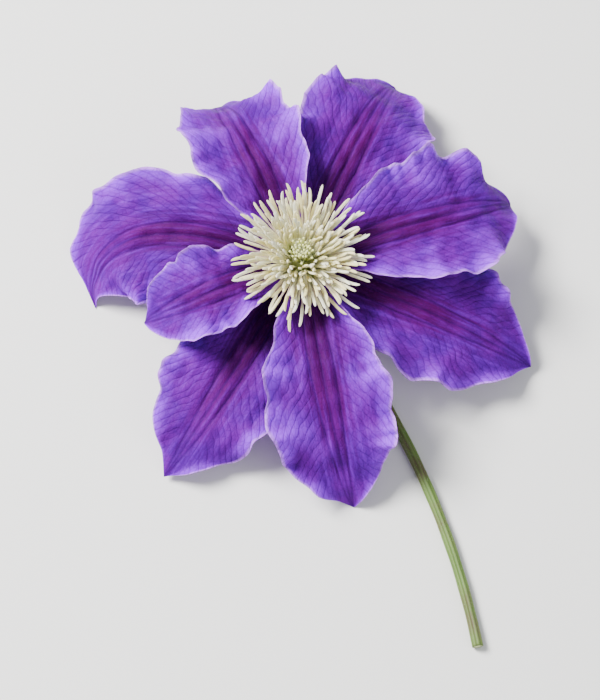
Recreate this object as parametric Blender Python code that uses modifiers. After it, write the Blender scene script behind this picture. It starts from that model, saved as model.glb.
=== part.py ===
"""A clematis flower as picked: eight waved tepals, the tuft of stamens round the pistil, and the stalk.

It lies face up on the tips of three tepals and on its stalk. Metres, +Z up. The surface that it lies on is
z = 0, and the origin there is the middle of its outline.

Bloom frame: +Z is the axis of the bloom, pointing out of its face, and its origin is on that axis where the
outer tepals are attached. A tepal is laid out in a vertical plane through the axis, from its root outwards.
"""
import math
import random
from dataclasses import dataclass

import bmesh
import bpy
from mathutils import Matrix, Vector

MM = 0.001
SEED = 7

# How the bloom stands over the surface
BLOOM_HEIGHT = 13.5 * MM
BLOOM_X = 0.33 * MM
BLOOM_Y = 17.92 * MM
FACE_TILT = math.radians(7)  # of its face towards -Y
PRESS = 0.9 * MM  # how far the tips that bear the flower are pressed flat
SURFACE_SIZE = 0.3
SURFACE_DEPTH = 5.0 * MM

# Tepals
TEPAL_LENGTH = 51.0 * MM
TEPAL_WIDTH = 26.5 * MM
TEPAL_THICKNESS = 0.7 * MM
TEPAL_ROOT_RADIUS = 4.05 * MM
OUTER_ROOT_HEIGHT = 0.35 * MM
INNER_ROOT_HEIGHT = 1.65 * MM
TEPAL_ROWS = 20
TEPAL_COLUMNS = 12
COLUMN_CROWDING = 1.4  # above 1, the columns stand closer at the midrib
REFLEX = 1.5  # above 1, a tepal bends back more towards its tip
BENDING = 2.5  # the same, for its bend to one side
CLAW = 0.17  # width at the root, as a share of the full width
WIDEST_AT = 0.54  # share of the length
NOTCH = 0.06  # depth of the notches in the margins, as a share of half the width
OTHER_MARGIN = 2.1  # radians between the waves of one margin and those of the other
VEIN_DEPTH = 0.65 * MM
VEIN_SPACING = 2.7 * MM
VEIN_HALF_WIDTH = 0.85 * MM

# Receptacle: the swollen end of the stalk, as (radius, height in the bloom frame)
RECEPTACLE = [
    (1.15, -5.5), (1.2, -4.4), (1.45, -3.3), (2.1, -2.2), (3.0, -1.3), (3.55, -0.6), (3.7, 0.1),
    (3.7, 1.9), (3.35, 2.55), (2.4, 3.0),
]

# Stalk
STALK_RADIUS = 1.15 * MM
STALK_HEADING = math.radians(304)  # the way it leaves the bloom, seen from above
STALK_NECK_PULL = 6.5 * MM  # handle of the bend at the bloom's end
STALK_LIE_PULL = 8.0 * MM  # handle of the bend where it meets the surface
STALK_LANDS_AT = 17.0 * MM  # from the bloom's axis, seen from above
STALK_LYING = 73.0 * MM
STALK_CURVE = math.radians(-24)  # how far it turns while it lies
STALK_SIDES = 10
STALK_BEND_STEPS = 9
STALK_LYING_STEPS = 16
STALK_PRESS = 0.12 * MM

# Stamens
STAMEN_COUNT = 58
REPEAT_SIDES = 4  # of each stamen and each style
STAMEN_ROOTS = (2.75 * MM, 4.15 * MM)  # innermost and outermost, from the axis
STAMEN_LENGTHS = (9.5 * MM, 13.0 * MM)
STAMEN_LEAN = (math.radians(15), math.radians(48))
STAMEN_ARCH = (math.radians(-4), math.radians(28))  # how much further a tip leans than its root
STAMEN_RADII = (0.4, 0.34, 0.4, 0.62, 0.56, 0.26)  # mm, from the root to the tip of the anther
STAMEN_AT = (0.0, 0.3, 0.56, 0.66, 0.86, 1.0)  # where those radii are, as shares of its length
STAMEN_SUNK = 0.7 * MM  # depth of its root in the cushion
CUSHION_UNDER = [(2.05, 3.35), (3.3, 3.1), (4.45, 2.75)]  # (radius, height) in mm, as for the receptacle
CUSHION_OVER = [(4.75, 3.2), (4.3, 4.1), (3.3, 4.85), (2.3, 5.1)]
CUSHION_STEPS = 28
GOLDEN_ANGLE = math.radians(137.508)

# Pistil
STYLE_COUNT = 26
STYLE_LENGTHS = (4.0 * MM, 7.0 * MM)  # innermost and outermost
STYLE_ROOTS = (0.35 * MM, 1.1 * MM)
STYLE_HEIGHTS = (8.6 * MM, 5.1 * MM)
STYLE_LEAN = (math.radians(2), math.radians(7))
STYLE_ARCH = math.radians(6)
STYLE_RADII = (0.36, 0.34, 0.3, 0.2)
STYLE_AT = (0.0, 0.35, 0.7, 1.0)
OVARY = [(0.0, 3.35), (1.5, 3.35), (1.68, 4.3), (1.6, 5.8), (1.35, 7.2), (0.95, 8.3), (0.5, 8.9), (0.0, 9.05)]
OVARY_STEPS = 16


@dataclass
class Tepal:
    """What sets one tepal apart from the next."""

    azimuth: float  # degrees round the axis of the bloom, from +X
    inner: bool  # attached above its neighbours, or below them
    length: float  # share of TEPAL_LENGTH
    width: float  # share of TEPAL_WIDTH
    rise: float  # degrees above level at its root
    tip_height: float  # mm, of its tip over the surface
    bend: float  # degrees that its tip is bent sideways, towards a larger azimuth
    twist: float  # degrees that its tip is turned about its length
    cup: float  # how far its margins stand up, as a share of half its width
    wave: float  # mm, height of the waves at its margins
    waves: float  # how many there are
    phase: float  # degrees, where they start


# azimuth, inner, length, width, rise, tip height, bend, twist, cup, wave, waves, phase
TEPALS = [
    Tepal(17, True, 0.97, 1.06, 16, 4.0, 5, -6, 0.24, 2.2, 4.1, 40),
    Tepal(66, False, 1.03, 1.1, 9, 0.0, -4, 4, 0.02, 2.0, 3.8, 200),
    Tepal(115, True, 0.93, 0.93, 19, 3.0, 6, 12, 0.3, 2.1, 4.2, 310),
    Tepal(165, False, 1.08, 1.06, 9, 0.0, 85, -22, 0.0, 1.8, 4.2, 120),
    Tepal(202, True, 0.66, 0.72, 20, 9.0, -4, 8, 0.3, 1.8, 3.2, 70),
    Tepal(239, False, 0.99, 1.0, 7, 1.5, -7, 3, -0.03, 1.9, 3.9, 250),
    Tepal(280, True, 1.03, 1.0, 17, 0.0, 7, 5, 0.26, 2.1, 4.2, 90),
    Tepal(338, False, 1.0, 1.06, 8, 2.0, -4, -4, 0.0, 2.0, 3.9, 160),
]


def bloom_matrix():
    """The bloom frame, in the world."""
    place = Matrix.Translation((BLOOM_X, BLOOM_Y, BLOOM_HEIGHT))
    return place @ Matrix.Rotation(FACE_TILT, 4, "X")


def material(name, colour, roughness):
    """A plain Principled material."""
    made = bpy.data.materials.new(name)
    made.use_nodes = True
    shader = made.node_tree.nodes["Principled BSDF"]
    shader.inputs["Base Color"].default_value = (*colour, 1)
    shader.inputs["Roughness"].default_value = roughness
    shader.inputs["Metallic"].default_value = 0
    return made


def add_object(name, mesh, collection, finish=None):
    """A new object for this mesh, in this collection."""
    made = bpy.data.objects.new(name, mesh)
    collection.objects.link(made)
    if finish:
        made.data.materials.append(finish)
    return made


def between(ends, share):
    """The value that lies this share of the way between two."""
    return ends[0] + (ends[1] - ends[0]) * share


# Tepals


def outline(s):
    """Half width of a tepal as a share of its widest: narrow at the root, widest in the middle, pointed."""
    if s < WIDEST_AT:
        return CLAW + (1 - CLAW) * math.sin(math.pi / 2 * s / WIDEST_AT) ** 1.15
    past = (s - WIDEST_AT) / (1 - WIDEST_AT)
    return (1 - past**2.3) * (1 - 0.35 * past**4)


def spine(tepal, turn):
    """The middle line of a tepal as (out, side, up, slope, heading) for each row of its mesh.

    It leaves its root at the tepal's rise, and has turned down by this much more, in radians, at its tip.
    """
    rise, bend = math.radians(tepal.rise), math.radians(tepal.bend)
    step = TEPAL_LENGTH * tepal.length / TEPAL_ROWS
    out, side = TEPAL_ROOT_RADIUS, 0.0
    up = INNER_ROOT_HEIGHT if tepal.inner else OUTER_ROOT_HEIGHT
    line = [(out, side, up, rise, 0.0)]
    for row in range(TEPAL_ROWS):
        half_way = (row + 0.5) / TEPAL_ROWS
        slope, heading = rise + turn * half_way**REFLEX, bend * half_way**BENDING
        out += step * math.cos(heading) * math.cos(slope)
        side += step * math.sin(heading)
        up += step * math.cos(heading) * math.sin(slope)
        s = (row + 1) / TEPAL_ROWS
        line.append((out, side, up, rise + turn * s**REFLEX, bend * s**BENDING))
    return line


def relief(tepal, s, v, half):
    """Height of the blade over its own plane: cupped margins, waves along them and three sunk veins."""
    cup = tepal.cup * half * v * v * (1.25 - s) * min(1, 0.2 + 4 * s)
    swell = math.sin(math.pi * s) ** 0.6 * (0.55 + 0.75 * s)
    angle = math.tau * tepal.waves * s + math.radians(tepal.phase)
    if v < 0:
        angle += OTHER_MARGIN
    wave = tepal.wave * MM * swell * abs(v) ** 2.6 * math.sin(angle)
    spacing = VEIN_SPACING * (1 - s**3) * min(1, 0.45 + 1.6 * s)
    fade = math.sin(math.pi * min(1, 0.12 + s)) ** 0.5 if s < 0.88 else 0
    vein = 0.0
    for middle in (-spacing, 0, spacing):
        vein -= VEIN_DEPTH * fade * math.exp(-(((v * half - middle) / VEIN_HALF_WIDTH) ** 2))
    return cup + wave + vein


def blade_point(tepal, middle, s, v):
    """A point of the blade in the bloom frame: s runs from root to tip, v from margin to margin, -1 to 1."""
    out, side, up, slope, heading = middle
    half = TEPAL_WIDTH / 2 * tepal.width * outline(s)
    half *= 1 + NOTCH * math.sin(math.tau * (tepal.waves + 1) * s + math.radians(tepal.phase) * 2 + v)
    lift = relief(tepal, s, v, half)
    twist = math.radians(tepal.twist) * s
    ahead = -v * half * math.sin(heading)
    across = side + v * half * math.cos(heading)
    side = across * math.cos(twist) - lift * math.sin(twist)
    lift = across * math.sin(twist) + lift * math.cos(twist)
    out += ahead * math.cos(slope) - lift * math.sin(slope)
    point = Vector((out, side, up + ahead * math.sin(slope) + lift * math.cos(slope)))
    point.rotate(Matrix.Rotation(math.radians(tepal.azimuth), 3, "Z"))
    return point


def settled_spine(tepal):
    """The middle line that ends at the tepal's height over the surface: how far it turns is found by halving."""
    target = tepal.tip_height * MM
    if tepal.tip_height == 0:
        target = TEPAL_THICKNESS / 2 - PRESS
    frame = bloom_matrix()
    steep, flat = math.radians(-150), math.radians(-2)
    for _ in range(40):
        turn = (steep + flat) / 2
        line = spine(tepal, turn)
        if (frame @ blade_point(tepal, line[-1], 1, 0)).z < target:
            steep = turn
        else:
            flat = turn
    return line


def add_tepal(number, tepal, collection, finish):
    """One tepal: a waved sheet of triangles, alike on both faces, given its thickness by Solidify."""
    line = settled_spine(tepal)
    sheet = bmesh.new()
    bmesh.ops.create_grid(sheet, x_segments=TEPAL_ROWS, y_segments=TEPAL_COLUMNS, size=1)
    for vertex in sheet.verts:
        s = (vertex.co.x + 1) / 2
        v = math.copysign(abs(vertex.co.y) ** COLUMN_CROWDING, vertex.co.y)
        vertex.co = blade_point(tepal, line[round(s * TEPAL_ROWS)], s, v)
    bmesh.ops.remove_doubles(sheet, verts=sheet.verts, dist=1e-5)
    bmesh.ops.triangulate(sheet, faces=sheet.faces)
    mesh = bpy.data.meshes.new("tepal")
    sheet.to_mesh(mesh)
    sheet.free()
    mesh.shade_smooth()
    made = add_object(f"tepal_{number}", mesh, collection, finish)
    solid = made.modifiers.new("Thickness", "SOLIDIFY")
    solid.thickness = TEPAL_THICKNESS
    solid.offset = 0
    return made


# Tubes


def tube_mesh(points, radii, sides):
    """The mesh of a tube with filled caps through these points, with a radius at each."""
    curve = bpy.data.curves.new("tube", "CURVE")
    curve.dimensions = "3D"
    curve.bevel_depth = 1
    curve.bevel_resolution = (sides - 4) // 2
    curve.use_fill_caps = True
    spline = curve.splines.new("POLY")
    spline.points.add(len(points) - 1)
    for knot, point, radius in zip(spline.points, points, radii):
        knot.co = (*point, 1)
        knot.radius = radius
    guide = bpy.data.objects.new("tube", curve)
    bpy.context.scene.collection.objects.link(guide)
    bpy.context.view_layer.update()
    graph = bpy.context.evaluated_depsgraph_get()
    mesh = bpy.data.meshes.new_from_object(guide.evaluated_get(graph))
    bpy.data.objects.remove(guide)
    bpy.data.curves.remove(curve)
    welded = bmesh.new()
    welded.from_mesh(mesh)
    bmesh.ops.remove_doubles(welded, verts=welded.verts, dist=1e-6)
    bmesh.ops.recalc_face_normals(welded, faces=welded.faces)
    welded.to_mesh(mesh)
    welded.free()
    return mesh


def turned_mesh(name, profile, steps):
    """The mesh of a profile of (radius, height) in mm, turned round the axis of the bloom.

    A profile that begins and ends on the axis stays open, and any other is closed to a ring.
    """
    turned = bmesh.new()
    line = [turned.verts.new((radius * MM, 0, height * MM)) for radius, height in profile]
    following = line[1:] if profile[0][0] == 0 else line[1:] + line[:1]
    edges = [turned.edges.new(pair) for pair in zip(line, following)]
    bmesh.ops.spin(turned, geom=line + edges, cent=(0, 0, 0), axis=(0, 0, 1),
                   angle=math.tau, steps=steps, use_merge=True)
    bmesh.ops.remove_doubles(turned, verts=turned.verts, dist=1e-6)
    bmesh.ops.recalc_face_normals(turned, faces=turned.faces)
    mesh = bpy.data.meshes.new(name)
    turned.to_mesh(mesh)
    turned.free()
    return mesh


def arc_points(root, lean, arch, azimuth, length, shares):
    """Points along a filament or a style: it leaves its root at this lean off the axis and leans out further."""
    steps = 8
    points = []
    for share in shares:
        out, up = root
        for step in range(steps):
            now = lean + arch * share * (step + 0.5) / steps
            out += length * share / steps * math.sin(now)
            up += length * share / steps * math.cos(now)
        points.append(Vector((out * math.cos(azimuth), out * math.sin(azimuth), up)))
    return points


def join_repeats(body, repeats):
    """Joins a collection's objects to this body by one Boolean union, and removes them."""
    union = body.modifiers.new("Union", "BOOLEAN")
    union.operation = "UNION"
    union.operand_type = "COLLECTION"
    union.collection = repeats
    bpy.context.view_layer.update()
    graph = bpy.context.evaluated_depsgraph_get()
    joined = bpy.data.meshes.new_from_object(body.evaluated_get(graph))
    body.modifiers.remove(union)
    body.data = joined
    for piece in list(repeats.objects):
        bpy.data.objects.remove(piece)
    bpy.data.collections.remove(repeats)


# Stamens and pistil


def cushion_top(radius):
    """Height of the cushion's upper face at this distance from the axis."""
    for (outer, low), (inner, high) in zip(CUSHION_OVER, CUSHION_OVER[1:]):
        if inner * MM <= radius <= outer * MM:
            return between((low * MM, high * MM), (outer * MM - radius) / (outer * MM - inner * MM))
    return CUSHION_OVER[-1][1] * MM


def add_stamens(collection, finish):
    """The tuft of stamens on the cushion that they spring from, the outer ones longer and leaning further."""
    draw = random.Random(SEED)
    cushion = turned_mesh("stamens", CUSHION_UNDER + CUSHION_OVER, CUSHION_STEPS)
    body = add_object("stamens", cushion, collection)
    repeats = bpy.data.collections.new("stamen_tubes")
    bpy.context.scene.collection.children.link(repeats)
    for index in range(STAMEN_COUNT):
        share = index / (STAMEN_COUNT - 1)
        radius = math.sqrt(between([end * end for end in STAMEN_ROOTS], share))
        root = (radius, cushion_top(radius) - STAMEN_SUNK)
        lean = between(STAMEN_LEAN, share) + math.radians(draw.uniform(-2, 2))
        arch = between(STAMEN_ARCH, share) + math.radians(draw.uniform(-3, 3))
        length = between(STAMEN_LENGTHS, share) * draw.uniform(0.95, 1.05)
        points = arc_points(root, lean, arch, index * GOLDEN_ANGLE, length, STAMEN_AT)
        mesh = tube_mesh(points, [radius * MM for radius in STAMEN_RADII], REPEAT_SIDES)
        add_object(f"stamen_{index}", mesh, repeats)
    join_repeats(body, repeats)
    body.data.materials.append(finish)
    return body


def add_pistil(collection, finish):
    """The pistil: carpels drawn together in a cone, with a style rising from each."""
    draw = random.Random(SEED)
    body = add_object("pistil", turned_mesh("pistil", OVARY, OVARY_STEPS), collection)
    repeats = bpy.data.collections.new("style_tubes")
    bpy.context.scene.collection.children.link(repeats)
    for index in range(STYLE_COUNT):
        share = index / (STYLE_COUNT - 1)
        root = (between(STYLE_ROOTS, share**0.8), between(STYLE_HEIGHTS, share))
        lean = between(STYLE_LEAN, share) + math.radians(draw.uniform(-1, 1))
        length = between(STYLE_LENGTHS, share) * draw.uniform(0.95, 1.05)
        points = arc_points(root, lean, STYLE_ARCH, index * GOLDEN_ANGLE, length, STYLE_AT)
        mesh = tube_mesh(points, [radius * MM for radius in STYLE_RADII], REPEAT_SIDES)
        add_object(f"style_{index}", mesh, repeats)
    join_repeats(body, repeats)
    body.data.materials.append(finish)
    return body


# Stalk


def bezier(p0, p1, p2, p3, share):
    """A point of a cubic curve."""
    rest = 1 - share
    return p0 * rest**3 + p1 * (3 * rest * rest * share) + p2 * (3 * rest * share * share) + p3 * share**3


def stalk_line():
    """Points of the stalk's middle in the world, from the top of the receptacle to the cut end, and radii."""
    frame = bloom_matrix()
    axis = frame.to_3x3() @ Vector((0, 0, 1))
    points = [frame @ Vector((0, 0, height * MM)) for _, height in reversed(RECEPTACLE)]
    radii = [radius * MM for radius, _ in reversed(RECEPTACLE)]
    neck = points[-1]
    heading = Vector((math.cos(STALK_HEADING), math.sin(STALK_HEADING), 0))
    level = STALK_RADIUS - STALK_PRESS
    landing = Vector((BLOOM_X, BLOOM_Y, level)) + heading * STALK_LANDS_AT
    for step in range(1, STALK_BEND_STEPS + 1):
        points.append(bezier(neck, neck - axis * STALK_NECK_PULL, landing - heading * STALK_LIE_PULL,
                             landing, step / STALK_BEND_STEPS))
        radii.append(STALK_RADIUS)
    for step in range(STALK_LYING_STEPS):
        turned = STALK_HEADING + STALK_CURVE * (step + 0.5) / STALK_LYING_STEPS
        forward = Vector((math.cos(turned), math.sin(turned), 0))
        points.append(points[-1] + forward * STALK_LYING / STALK_LYING_STEPS)
        radii.append(STALK_RADIUS)
    return points, radii


def add_stalk(collection, finish):
    """The stalk and the receptacle that it swells into, grown as one piece."""
    points, radii = stalk_line()
    return add_object("stalk", tube_mesh(points, radii, STALK_SIDES), collection, finish)


def add_surface_cutter(collection):
    """The space below the surface, which flattens what bears on it."""
    block = bmesh.new()
    bmesh.ops.create_cube(block, size=1)
    bmesh.ops.scale(block, verts=block.verts, vec=(SURFACE_SIZE, SURFACE_SIZE, SURFACE_DEPTH))
    bmesh.ops.translate(block, verts=block.verts, vec=(0, 0, -SURFACE_DEPTH / 2))
    mesh = bpy.data.meshes.new("surface_cutter")
    block.to_mesh(mesh)
    block.free()
    made = add_object("surface_cutter", mesh, collection)
    made.hide_render = True
    made.display_type = "WIRE"
    return made


def flatten_on(piece, cutter):
    """Cuts this piece flat where it reaches the surface."""
    cut = piece.modifiers.new("Surface", "BOOLEAN")
    cut.operation = "DIFFERENCE"
    cut.object = cutter


def main():
    """Builds the flower."""
    for old in list(bpy.data.objects):
        bpy.data.objects.remove(old)
    flower = bpy.data.collections.new("clematis_flower")
    helpers = bpy.data.collections.new("cutters")
    bpy.context.scene.collection.children.link(flower)
    bpy.context.scene.collection.children.link(helpers)
    violet = material("tepal", (0.19, 0.06, 0.52), 0.55)
    cream = material("stamen", (0.74, 0.68, 0.5), 0.6)
    straw = material("pistil", (0.46, 0.47, 0.18), 0.6)
    green = material("stalk", (0.14, 0.24, 0.06), 0.55)

    bloom = bpy.data.objects.new("bloom", None)
    bloom.matrix_world = bloom_matrix()
    flower.objects.link(bloom)
    surface = add_surface_cutter(helpers)

    for number, tepal in enumerate(TEPALS, start=1):
        made = add_tepal(number, tepal, flower, violet)
        made.parent = bloom
        if tepal.tip_height == 0:
            flatten_on(made, surface)
    add_stamens(flower, cream).parent = bloom
    add_pistil(flower, straw).parent = bloom
    flatten_on(add_stalk(flower, green), surface)


main()
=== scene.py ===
"""Dresses a cut clematis bloom that lies face up: waved tepals, a tuft of stamens, the pistil and the stalk.

Lengths are in metres, except where a comment says MM, and angles are in radians, except where it says
degrees. The bloom frame has +Z along the bloom's axis, out of its face, and its origin where the outer
tepals are attached. A place on a tepal is given by s, the share of the way from root to tip, and by v,
which goes from -1 at one margin to 1 at the other.
"""
from __future__ import annotations

import sys

import logging
import math
import random
from collections.abc import Callable
from dataclasses import dataclass, field
from enum import Enum
from functools import partial

import bmesh
import bpy
from mathutils import Matrix, Vector, noise

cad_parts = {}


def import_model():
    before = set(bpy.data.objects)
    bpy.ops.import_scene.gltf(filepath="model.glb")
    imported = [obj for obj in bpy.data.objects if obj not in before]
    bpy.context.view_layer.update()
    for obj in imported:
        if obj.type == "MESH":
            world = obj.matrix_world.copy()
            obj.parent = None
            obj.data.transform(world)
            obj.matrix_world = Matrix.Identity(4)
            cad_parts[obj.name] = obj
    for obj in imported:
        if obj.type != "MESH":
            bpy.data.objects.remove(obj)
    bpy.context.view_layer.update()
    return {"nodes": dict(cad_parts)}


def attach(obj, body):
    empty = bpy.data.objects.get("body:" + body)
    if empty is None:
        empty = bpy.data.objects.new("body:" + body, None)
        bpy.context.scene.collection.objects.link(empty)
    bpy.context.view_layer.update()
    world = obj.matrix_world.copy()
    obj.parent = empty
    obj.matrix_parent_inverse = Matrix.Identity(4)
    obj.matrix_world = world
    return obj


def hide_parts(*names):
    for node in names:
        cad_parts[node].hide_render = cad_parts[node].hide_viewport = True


MM = 0.001
GOLDEN_ANGLE = math.radians(137.508)
ANTHER_FROM = (0.4, 0.48)  # shares of a stamen's length over which its filament becomes the anther
VEIN_SPACING = 2.7  # MM, between the three main veins of a tepal where they are widest apart
VEIN_SPREAD = (0.45, 1.6)  # share of that spacing which they have at the root, and how fast it grows
SHORTENING = 1.6  # power by which the steps of a filament or style shorten towards its tip
CLOSED = 0.001 * MM  # points that lie closer than this are made one
UP = Vector((0, 0, 1))
BODY = "root"

Colour = tuple[float, float, float]
Section = Callable[[float, float], tuple[float, float]]

log = logging.getLogger("clematis")


# Shader maths


class Value:
    """A value inside a material, which Python's operators work on."""

    def __init__(self, shader: Shader, socket: bpy.types.NodeSocket) -> None:
        """Wraps an output socket of one of the shader's nodes."""
        self.shader = shader
        self.socket = socket

    def __add__(self, other: Number) -> Value:
        """This value plus another."""
        return self.shader.math("ADD", self, other)

    def __sub__(self, other: Number) -> Value:
        """This value less another."""
        return self.shader.math("SUBTRACT", self, other)

    def __mul__(self, other: Number) -> Value:
        """This value times another."""
        return self.shader.math("MULTIPLY", self, other)

    def __truediv__(self, other: Number) -> Value:
        """This value over another."""
        return self.shader.math("DIVIDE", self, other)

    def __pow__(self, other: Number) -> Value:
        """This value to a power."""
        return self.shader.math("POWER", self, other)

    def __rsub__(self, other: float) -> Value:
        """A number less this value."""
        return self.shader.math("SUBTRACT", other, self)

    def __abs__(self) -> Value:
        """This value without its sign."""
        return self.shader.math("ABSOLUTE", self)

    __radd__ = __add__
    __rmul__ = __mul__


Number = Value | float
Tint = Value | Colour


class Shader:
    """The nodes of one material, round its Principled BSDF."""

    def __init__(self, name: str) -> None:
        """Starts a material.

        Args:
            name: what the material is called.
        """
        self.material = bpy.data.materials.new(name)
        self.material.use_nodes = True
        self.tree = self.material.node_tree
        self.surface = self.tree.nodes["Principled BSDF"]

    def put(self, socket: bpy.types.NodeSocket, value: Number | tuple[float, ...]) -> None:
        """Links a value to an input socket, or sets a plain number, vector or colour on it.

        Args:
            socket: the input socket.
            value: what it gets. A colour is given without its alpha.
        """
        if isinstance(value, Value):
            self.tree.links.new(value.socket, socket)
        elif isinstance(value, tuple) and len(socket.default_value) == 4:
            socket.default_value = (*value, 1.0)
        else:
            socket.default_value = value

    def node(self, kind: str, settings: dict[str, object], sockets: dict[int | str, object],
             output: int | str = 0) -> Value:
        """Adds a node.

        Args:
            kind: the node's type, without the words ShaderNode.
            settings: its own settings, which are set first.
            sockets: the values or links of its input sockets, by name or number.
            output: the output socket that is wanted.

        Returns:
            The value of that output.
        """
        made = self.tree.nodes.new("ShaderNode" + kind)
        for key, setting in settings.items():
            setattr(made, key, setting)
        for key, value in sockets.items():
            self.put(made.inputs[key], value)
        return Value(self, made.outputs[output])

    def math(self, operation: str, *values: Number) -> Value:
        """A Math node on one or two values."""
        return self.node("Math", {"operation": operation}, dict(enumerate(values)))

    def attribute(self, name: str, output: str = "Fac") -> Value:
        """An attribute that the piece's own mesh holds."""
        return self.node("Attribute", {"attribute_name": name}, {}, output)

    def parts(self, vector: Value) -> tuple[Value, ...]:
        """The three numbers of a vector."""
        made = self.node("SeparateXYZ", {}, {0: vector}).socket.node
        return tuple(Value(self, output) for output in made.outputs)

    def stretched(self, vector: Value, scale: tuple[float, float, float]) -> Value:
        """A vector with each of its numbers multiplied."""
        return self.node("VectorMath", {"operation": "MULTIPLY"}, {0: vector, 1: scale})

    def place(self) -> Value:
        """The place on the piece, in metres."""
        return self.node("TexCoord", {}, {}, "Object")

    def step(self, low: float, high: float, value: Value) -> Value:
        """A smooth step from 0 to 1, as the value goes from low to high."""
        sockets = {"Value": value, "From Min": low, "From Max": high}
        return self.node("MapRange", {"interpolation_type": "SMOOTHSTEP"}, sockets)

    def line(self, distance: Value, half_width: float) -> Value:
        """A soft line: 1 where the distance is 0, and 0 from half its width on."""
        return 1.0 - self.step(0.0, half_width, abs(distance))

    def clouds(self, vector: Value, scale: float, detail: float = 2.0) -> Value:
        """Soft noise from about 0.25 to 0.75."""
        return self.node("TexNoise", {}, {"Vector": vector, "Scale": scale, "Detail": detail})

    def cells(self, vector: Value, scale: float) -> Value:
        """The distance to the nearest edge between cells."""
        return self.node("TexVoronoi", {"feature": "DISTANCE_TO_EDGE"}, {"Vector": vector, "Scale": scale})

    def mix(self, share: Number, first: Tint, second: Tint) -> Value:
        """The first colour, with this share of the second."""
        return self.node("Mix", {"data_type": "RGBA"}, {0: share, 6: first, 7: second}, 2)

    def layered(self, base: Tint, *layers: tuple[Number, Tint]) -> Tint:
        """Lays colours over another, one after the other.

        Args:
            base: the lowest colour.
            layers: the share of each further colour, and the colour.

        Returns:
            The colour that comes of it.
        """
        for share, colour in layers:
            base = self.mix(share, base, colour)
        return base

    def relief(self, height: Value, depth: float, strength: float = 1.0) -> Value:
        """The surface normal for a fine relief of this depth."""
        return self.node("Bump", {}, {"Height": height, "Distance": depth, "Strength": strength}, "Normal")

    def finish(self, **sockets: Number | tuple[float, ...]) -> bpy.types.Material:
        """Sets the shader's own sockets.

        Args:
            sockets: what each socket gets, by its name with _ for a space.

        Returns:
            The material.
        """
        for name, value in sockets.items():
            self.put(self.surface.inputs[name.replace("_", " ")], value)
        return self.material


# Finishes


@dataclass(frozen=True)
class Pattern:
    """The values that the colours of a tepal are mixed by."""

    along: Value  # share of the way from root to tip
    edge: Value  # share of the way from the middle line to the margin
    crest: Value  # from -1 in the deepest fold to 1 on the highest
    off: Value  # distance from the middle line, in MM
    streak: Value  # noise drawn out along the tepal
    thread: Value  # the same, far finer
    cloud: Value  # soft noise
    net: Value  # 1 on the finest veins, which form a net
    ribs: Value  # 1 on the three main veins
    branches: Value  # 1 on the side veins


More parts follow.
